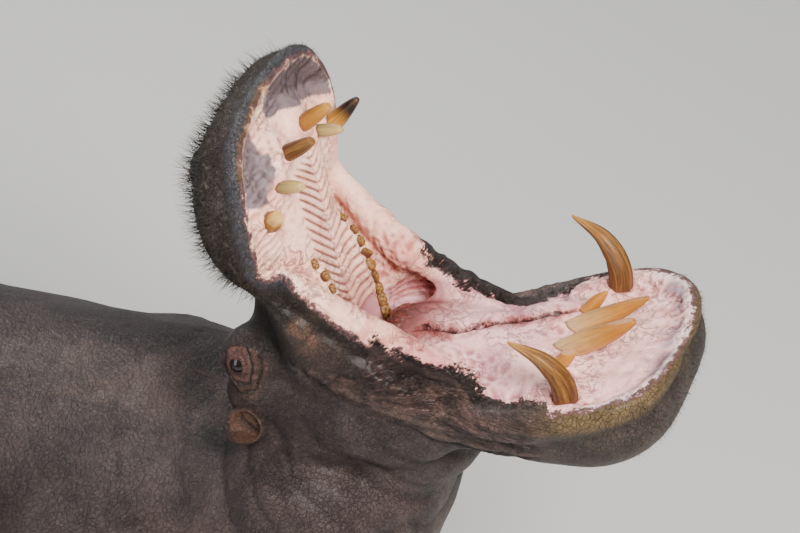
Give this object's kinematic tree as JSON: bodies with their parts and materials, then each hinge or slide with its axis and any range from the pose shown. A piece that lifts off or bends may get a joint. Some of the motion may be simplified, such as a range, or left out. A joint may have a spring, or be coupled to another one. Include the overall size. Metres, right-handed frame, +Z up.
{
  "type": "hippopotamus",
  "caption": "Life-size standing hippopotamus with its head thrown back and its mouth gaping wide, tusks, tongue and palate in full view.",
  "frame": {"origin": "on the floor, under the middle of the model's length and width", "axes": "+X forwards, out of the mouth; +Y to the animal's left; +Z up"},
  "size_m": [3.3186, 1.099, 2.172],
  "materials": {
    "hide": "thick, wet, nearly bare grey-brown hide",
    "mucosa": "wet pink tongue and mouth lining",
    "ivory": "stained golden tusk ivory",
    "nail": "dark horn toenails",
    "eye": "wet dark brown eye"
  },
  "bodies": {
    "root": {"ear_left": "hide", "ear_right": "hide", "eye_left": "eye", "eye_right": "eye", "front_leg_left": "hide", "front_leg_right": "hide", "front_toenail_left_1": "nail", "front_toenail_left_2": "nail", "front_toenail_left_3": "nail", "front_toenail_left_4": "nail", "front_toenail_right_1": "nail", "front_toenail_right_2": "nail", "front_toenail_right_3": "nail", "front_toenail_right_4": "nail", "head": "hide", "hind_leg_left": "hide", "hind_leg_right": "hide", "hind_toenail_left_1": "nail", "hind_toenail_left_2": "nail", "hind_toenail_left_3": "nail", "hind_toenail_left_4": "nail", "hind_toenail_right_1": "nail", "hind_toenail_right_2": "nail", "hind_toenail_right_3": "nail", "hind_toenail_right_4": "nail", "lower_incisor_inner_left": "ivory", "lower_incisor_inner_right": "ivory", "lower_incisor_outer_left": "ivory", "lower_incisor_outer_right": "ivory", "lower_jaw": "hide", "lower_tusk_left": "ivory", "lower_tusk_right": "ivory", "neck": "hide", "tail": "hide", "tongue": "mucosa", "trunk": "hide", "upper_incisor_inner_left": "ivory", "upper_incisor_inner_right": "ivory", "upper_incisor_outer_left": "ivory", "upper_incisor_outer_right": "ivory", "upper_tusk_left": "ivory", "upper_tusk_right": "ivory"}
  },
  "joints": []
}
